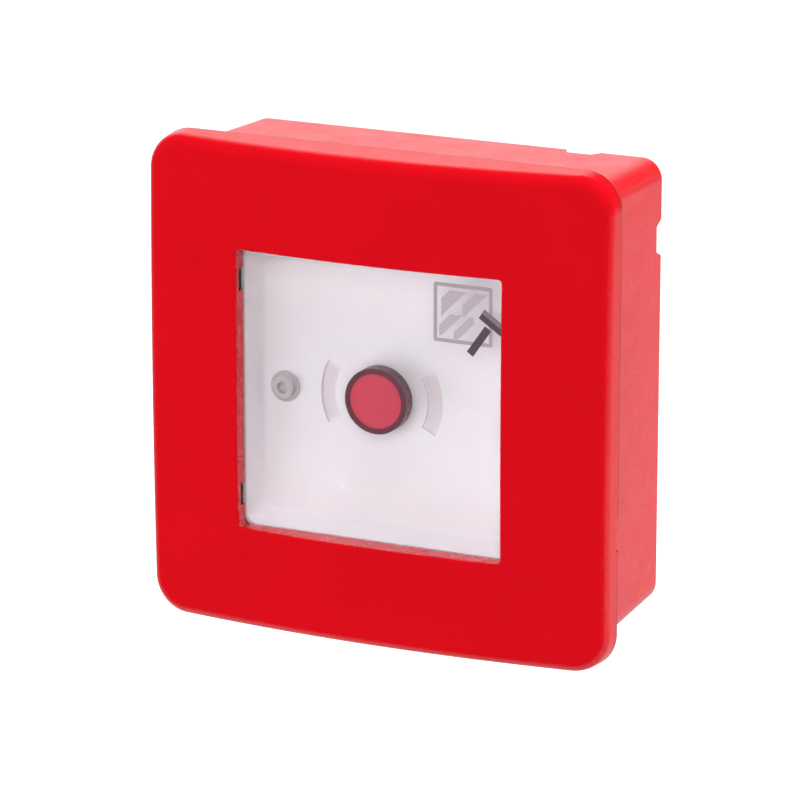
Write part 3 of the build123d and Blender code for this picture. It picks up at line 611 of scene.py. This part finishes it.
def frame_quarters():
    """The sign's frame as four L-shaped outlines that meet half way along its sides."""
    quarters = []
    for turn, (sx, sz) in enumerate([(1, 1), (-1, 1), (-1, -1), (1, -1)]):
        half_x = sx * SIGN_WIDTH / 2
        half_z = sz * SIGN_HEIGHT / 2
        inner_x = half_x - sx * SIGN_LINE
        inner_z = half_z - sz * SIGN_LINE
        bend = (half_x - sx * SIGN_CORNER, half_z - sz * SIGN_CORNER)
        outside = rounded_corner(bend, SIGN_CORNER, 90 * turn)
        first, last = (half_x, 0), (0, half_z)
        if turn % 2:
            first, last = last, first
        inner_first = (first[0] and inner_x, first[1] and inner_z)
        inner_last = (last[0] and inner_x, last[1] and inner_z)
        ring = [first, *outside, last, inner_last, (inner_x, inner_z), inner_first]
        quarters.append([(SIGN_MIDDLE.x + x, SIGN_MIDDLE.y + z) for x, z in ring])
    return quarters


def band(rises, across, up):
    """A 45 degree band between two lines z = x + rise, kept inside a box."""
    low, high = rises
    left, right = across
    bottom, top = up
    start, end = left - BAND_OVERRUN, right + BAND_OVERRUN
    points = [(start, start + low), (end, end + low), (end, end + high), (start, start + high)]
    limits = [(1, 0, left), (-1, 0, -right), (0, 1, bottom), (0, -1, -top)]
    for a, b, least in limits:
        kept = []
        for i, here in enumerate(points):
            before = points[i - 1]
            inside = a * here[0] + b * here[1] - least
            inside_before = a * before[0] + b * before[1] - least
            if (inside >= 0) != (inside_before >= 0):
                share = inside_before / (inside_before - inside)
                kept.append(tuple(p + (q - p) * share for p, q in zip(before, here)))
            if inside >= 0:
                kept.append(here)
        points = kept
    return points


def bar(start, end, width):
    """A straight bar between two points, as an outline."""
    side = Vector((-(end - start).y, (end - start).x)).normalized() * width / 2
    return [tuple(start - side), tuple(end - side), tuple(end + side), tuple(start + side)]


hammer_head = bar(HAMMER_HEAD_START, HAMMER_HEAD_END, HAMMER_HEAD_WIDTH)
hammer_light = bar(
    HAMMER_HEAD_START + HAMMER_LIGHT_MOVE, HAMMER_HEAD_END + HAMMER_LIGHT_MOVE, HAMMER_HEAD_WIDTH
)
hammer_handle = bar(HAMMER_HANDLE_START, HAMMER_HANDLE_END, HAMMER_HANDLE_WIDTH)
flat_print("sign_frame", frame_quarters(), frame_ink)
flat_print("sign_glass", [band(*sizes) for sizes in GLASS_BANDS], pale_ink)
flat_print("sign_hammer", [hammer_head, hammer_handle], dark_ink, layer=1)
flat_print("sign_hammer_light", [hammer_light], soft_ink, layer=1)


# The return spring, coiled round the plunger's rod between the flange and the housing
spring_low, spring_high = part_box("return_spring")


def coil_tree():
    """A Geometry Nodes tree that winds a round wire about the Y axis."""
    tree = bpy.data.node_groups.new("wound_wire", "GeometryNodeTree")
    face = tree.interface
    face.new_socket("Geometry", in_out="INPUT", socket_type="NodeSocketGeometry")
    for name in ("Turns", "Mean radius", "Length", "Wire radius", "Start"):
        face.new_socket(name, in_out="INPUT", socket_type="NodeSocketFloat")
    face.new_socket("Finish", in_out="INPUT", socket_type="NodeSocketMaterial")
    face.new_socket("Geometry", in_out="OUTPUT", socket_type="NodeSocketGeometry")
    given = add(tree, "NodeGroupInput").outputs
    spiral = add(
        tree, "GeometryNodeCurveSpiral", None,
        {
            "Resolution": SPRING_TURN_POINTS, "Rotations": given["Turns"],
            "Start Radius": given["Mean radius"], "End Radius": given["Mean radius"],
            "Height": given["Length"],
        },
    )
    start = add(tree, "ShaderNodeCombineXYZ", None, {"Y": given["Start"]})
    laid = add(
        tree, "GeometryNodeTransform", None,
        {
            "Geometry": spiral.outputs[0], "Rotation": (math.pi / 2, 0, 0),
            "Translation": start.outputs[0],
        },
    )
    section = add(
        tree, "GeometryNodeCurvePrimitiveCircle", None,
        {"Resolution": SPRING_WIRE_POINTS, "Radius": given["Wire radius"]},
    )
    tube = add(
        tree, "GeometryNodeCurveToMesh", None,
        {"Curve": laid.outputs[0], "Profile Curve": section.outputs[0], "Fill Caps": True},
    )
    smooth = add(tree, "GeometryNodeSetShadeSmooth", None, {"Geometry": tube.outputs[0]})
    real = add(tree, "GeometryNodeRealizeInstances", None, {"Geometry": smooth.outputs[0]})
    made = add(
        tree, "GeometryNodeSetMaterial", None,
        {"Geometry": real.outputs[0], "Material": given["Finish"]},
    )
    add(tree, "NodeGroupOutput", None, {0: made.outputs[0]})
    return tree


def grown(name, tree, values):
    """The mesh that a Geometry Nodes tree makes from these input values."""
    holder = bpy.data.objects.new(name + "_maker", bpy.data.meshes.new(name + "_maker"))
    bpy.context.scene.collection.objects.link(holder)
    modifier = holder.modifiers.new("maker", "NODES")
    modifier.node_group = tree
    for item in tree.interface.items_tree:
        if item.in_out == "INPUT" and item.name in values:
            modifier[item.identifier] = values[item.name]
    bpy.context.view_layer.update()
    ready = holder.evaluated_get(bpy.context.evaluated_depsgraph_get())
    mesh = bpy.data.meshes.new_from_object(ready)
    mesh.name = name
    holder.modifiers.remove(modifier)
    bpy.data.objects.remove(holder)
    return mesh


wire_radius = SPRING_WIRE / 2
spring_length = spring_high.y - spring_low.y
spring_mesh = grown(
    "coiled_spring", coil_tree(),
    {
        "Turns": SPRING_TURNS, "Mean radius": spring_high.x - wire_radius,
        "Length": spring_length - SPRING_WIRE, "Wire radius": wire_radius,
        "Start": spring_high.y - wire_radius, "Finish": spring_steel,
    },
)
spring = mesh_piece("coiled_spring", spring_mesh, spring_steel, "enclosure")
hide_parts("return_spring")
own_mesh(spring)


def camera_sight(tree):
    """1 for what the camera sees, straight or through the pane, and 0 for all other light."""
    ray = add(tree, "ShaderNodeLightPath")
    seen = add(
        tree, "ShaderNodeMath", {"operation": "MAXIMUM"},
        {0: ray.outputs["Is Camera Ray"], 1: ray.outputs["Is Transmission Ray"]},
    )
    return seen.outputs[0]


def floor_material():
    """Pale floor: white to the camera, with the object's soft shadow, and clear from below."""
    material, tree = new_material("pale_studio_floor")
    plain = add(tree, "ShaderNodeBsdfDiffuse", None, {"Color": linear("#B4B4B4")})
    lift = add(
        tree, "ShaderNodeMath", {"operation": "MULTIPLY"}, {0: camera_sight(tree), 1: FLOOR_GLOW}
    )
    glow = add(tree, "ShaderNodeEmission", None, {"Strength": lift.outputs[0]})
    lit = add(tree, "ShaderNodeAddShader", None, {0: plain.outputs[0], 1: glow.outputs[0]})
    under = add(tree, "ShaderNodeNewGeometry").outputs["Backfacing"]
    clear = add(tree, "ShaderNodeBsdfTransparent")
    shown = add(
        tree, "ShaderNodeMixShader", None, {0: under, 1: lit.outputs[0], 2: clear.outputs[0]}
    )
    return finish_material(material, shown.outputs[0])


def pale_floor():
    """A pale floor some way under the box, which hangs as on a wall."""
    level = cad_low.z - FLOOR_DROP
    corners = [
        (-FLOOR_HALF_WIDTH, -FLOOR_FRONT, level), (FLOOR_HALF_WIDTH, -FLOOR_FRONT, level),
        (FLOOR_HALF_WIDTH, FLOOR_BACK, level), (-FLOOR_HALF_WIDTH, FLOOR_BACK, level),
    ]
    mesh = bpy.data.meshes.new("pale_floor")
    mesh.from_pydata(corners, [], [(0, 1, 2, 3)])
    mesh.materials.append(floor_material())
    floor = bpy.data.objects.new("pale_floor", mesh)
    bpy.context.scene.collection.objects.link(floor)


def studio_world():
    """White to the camera; its light comes from behind the object, and is dim from elsewhere."""
    world = bpy.data.worlds.new("white_studio")
    bpy.context.scene.world = world
    world.use_nodes = True
    world.cycles.sampling_method = "NONE"
    tree = world.node_tree
    tree.nodes.clear()
    heading = add(tree, "ShaderNodeTexCoord").outputs["Generated"]
    parts = add(tree, "ShaderNodeSeparateXYZ", None, {"Vector": heading})
    slope = add(tree, "ShaderNodeMath", None, {0: parts.outputs["X"], 1: parts.outputs["Z"]})
    edges = [
        (parts.outputs["Y"], ROOM_BEHIND_EDGE), (slope.outputs[0], ROOM_UPPER_RIGHT_EDGE),
    ]
    bright = soft_mask(tree, edges, ROOM_BRIGHT)
    level = add(tree, "ShaderNodeMath", None, {0: bright, 1: ROOM_DIM})
    strength = add(
        tree, "ShaderNodeMix", {"data_type": "FLOAT"},
        {0: camera_sight(tree), 2: level.outputs[0], 3: 1.0},
    )
    light = add(
        tree, "ShaderNodeBackground", None,
        {"Color": linear("#FFFFFF"), "Strength": strength.outputs[0]},
    )
    add(tree, "ShaderNodeOutputWorld", None, {"Surface": light.outputs[0]})


def soft_lamp(name, place_mm, side_mm, watts, target_mm):
    """A large square soft lamp that lights the object but isn't mirrored in it."""
    data = bpy.data.lights.new(name, "AREA")
    data.shape = "SQUARE"
    data.size = side_mm * MM
    data.energy = watts
    data.cycles.use_multiple_importance_sampling = False
    lamp = bpy.data.objects.new(name, data)
    lamp.location = Vector(place_mm) * MM
    lamp.rotation_mode = "QUATERNION"
    lamp.rotation_quaternion = (Vector(target_mm) * MM - lamp.location).to_track_quat("-Z", "Y")
    lamp.visible_glossy = False
    bpy.context.scene.collection.objects.link(lamp)


def photo_camera():
    """The camera at the photograph's viewing angle."""
    data = bpy.data.cameras.new("photo_camera")
    data.sensor_width = SENSOR_MM
    data.lens = FOCAL_PX / IMAGE_SIDE_PX * SENSOR_MM
    data.clip_start = CAMERA_CLIP_START
    data.clip_end = CAMERA_CLIP_END
    camera = bpy.data.objects.new("photo_camera", data)
    flat = math.cos(CAMERA_ELEVATION)
    back = Vector((
        math.sin(CAMERA_AZIMUTH) * flat, -math.cos(CAMERA_AZIMUTH) * flat,
        math.sin(CAMERA_ELEVATION),
    ))
    right = Vector((math.cos(CAMERA_AZIMUTH), math.sin(CAMERA_AZIMUTH), 0))
    up = back.cross(right)
    camera.location = (
        CAMERA_AIM + back * CAMERA_DISTANCE + right * CAMERA_MOVE_RIGHT + up * CAMERA_MOVE_UP
    )
    camera.rotation_mode = "QUATERNION"
    camera.rotation_quaternion = Matrix((right, up, back)).transposed().to_quaternion()
    bpy.context.scene.collection.objects.link(camera)
    bpy.context.scene.camera = camera


pale_floor()
studio_world()
for lamp_row in LAMPS:
    soft_lamp(*lamp_row)
photo_camera()
bpy.context.scene.view_settings.view_transform = "Standard"
